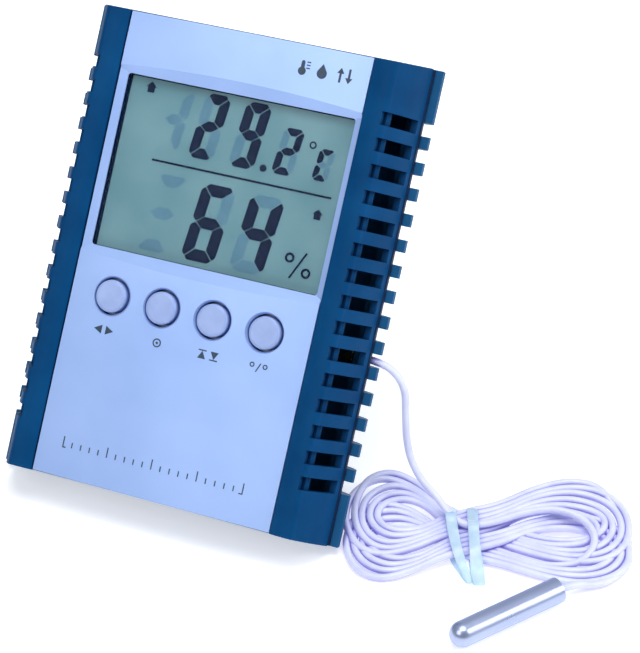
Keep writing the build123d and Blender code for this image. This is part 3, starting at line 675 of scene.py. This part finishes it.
def hank_points():
    """The whole hank, from where the cable arrives on top to where it leaves for the probe."""
    rng = random.Random(SEED)
    over, upper = ARRIVAL, ARRIVAL_UPPER
    points = []
    for n, back in enumerate(COMES_BACK):
        under = at_tie(back, UNDER)
        points.append((TIE_U, *over))
        points += lobe_points(1, over, under, upper, ranked(RIGHT_LOWER, back), RIGHT_REACH[n], rng)
        points.append((TIE_U, *under))
        over, upper = at_tie(n, OVER), ranked(RIGHT_UPPER, n)
        left_upper, left_lower = ranked(LEFT_UPPER, back), ranked(LEFT_LOWER, n)
        points += lobe_points(-1, under, over, left_upper, left_lower, LEFT_REACH[n], rng)
    points.append((TIE_U, *over))
    last = lobe_points(1, over, over, upper, LAST_LOWER, LAST_REACH, rng)
    return points + last[:LAST_POINTS] + list(TO_PROBE)


def cable_points():
    x, y, z = CABLE_LEAVES
    points = [case_point(x, y, z), case_point(x + CABLE_STRAIGHT, y, z)]
    points += [Vector(p) for p in CABLE_ROUTE]
    points.append(hank_point(*NEARS_TIE))
    points += [hank_point(*p) for p in hank_points()]
    points.append(probe_mouth())
    return points


def probe_mouth():
    """The middle of the probe's open end, from the box of its lead."""
    low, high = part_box("probe_lead")
    across = CABLE_D / 2 * math.sin(PROBE_HEADING)
    along = CABLE_D / 2 * math.cos(PROBE_HEADING)
    return Vector((low.x + across, low.y + along, (low.z + high.z) / 2))


def cable():
    points = cable_points()
    data = bpy.data.curves.new("probe_cable", "CURVE")
    data.dimensions = "3D"
    data.bevel_depth = CABLE_D / 2
    data.bevel_resolution = 4
    data.resolution_u = 5
    data.use_fill_caps = True
    data.materials.append(FINISH["cable"])
    spline = data.splines.new("NURBS")
    spline.points.add(len(points) - 1)
    for point, place in zip(spline.points, points):
        point.co = (*place, 1)
    spline.order_u = 3
    spline.use_endpoint_u = True
    piece = link(bpy.data.objects.new("probe_cable", data))
    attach(piece, CASE)
    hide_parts("cable_tube", "cable_hank", "probe_lead")
    return piece, points[0]


# A strap of the tie, round the hank in the plane across it: v and height
STRAP_FRONT = ((-14.2, 1.2), (-12.0, 2.0), (-10.2, 3.2), (-8.9, 4.4), (-6.4, 5.1))
STRAP_BACK = ((6.6, 4.5), (8.3, 3.2), (8.5, 1.4), (7.0, 0.2), (3.5, 0.15), (-4.0, 0.15),
              (-8.0, 0.17), (-11.5, 0.25), (-14.8, 0.2))


def strap(name, top_u, front_u, end_u, width, tail_width, tip, crest):
    """A flat band round the hank, over the arriving strand at its crest, with a tail in front.

    top_u, front_u and end_u are its places along the hank on top, in front and at the tail's
    end. tip is the v of the tail's end, and crest the v and height of the band's highest part.
    """
    thick, ridge = 0.22, 0.16         # the ridge along the band's middle keeps it from lying flat
    v, z = crest
    over_strand = ((v - 2.1, z - 1.0), (v - 0.9, z), (v + 0.9, z), (v + 2.1, z - 1.0))
    route = ((tip, 0.5), *STRAP_FRONT, *over_strand, *STRAP_BACK)
    count = len(route)
    verts, faces = [], []
    for i, (v, z) in enumerate(route):
        before, after = route[i - 1], route[(i + 1) % count]
        along = Vector((after[0] - before[0], after[1] - before[1])).normalized()
        out = Vector((-along.y, along.x))
        front = min(1, max(0, (2 - v) / 10))
        tail = min(1, max(0, (-8 - v) / 7.6))
        u = top_u + (front_u - top_u) * front + (end_u - front_u) * tail
        half = (width + (tail_width - width) * tail) / 2 * (1 if i else 0.5)
        for du, lift in ((-half, 0), (0, ridge), (half, 0), (half, -thick), (-half, -thick)):
            verts.append(hank_point(u + du, v + out.x * lift, max(0.05, z + out.y * lift)))
    ring_size = 5
    for i in range(count):
        a, b = i * ring_size, (i + 1) % count * ring_size
        for j in range(ring_size):
            k = (j + 1) % ring_size
            faces.append((a + j, b + j, b + k, a + k))
    mesh = bpy.data.meshes.new(name)
    mesh.from_pydata(verts, [], faces)
    mesh.materials.append(FINISH["tie"])
    for polygon in mesh.polygons:
        polygon.use_smooth = True
    piece = link(bpy.data.objects.new(name, mesh))
    soft = piece.modifiers.new("soft", "SUBSURF")
    soft.levels = soft.render_levels = 3
    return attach(piece, CASE)


def tie():
    left = strap("tie_strap_left", -9.6, -8.2, -4.9, 2.7, 2.0, -16.2, (1.8, 6.6))
    right = strap("tie_strap_right", -4.4, -3.9, -2.8, 2.7, 3.8, -17.2, (-0.8, 6.2))
    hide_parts("twist_tie")
    return [left, right]


# ---------------------------------------------------------------- build

paint_cad_nodes()
camera()
studio()
floor()
cord, leaves = cable()
straps = tie()
display()
signs()
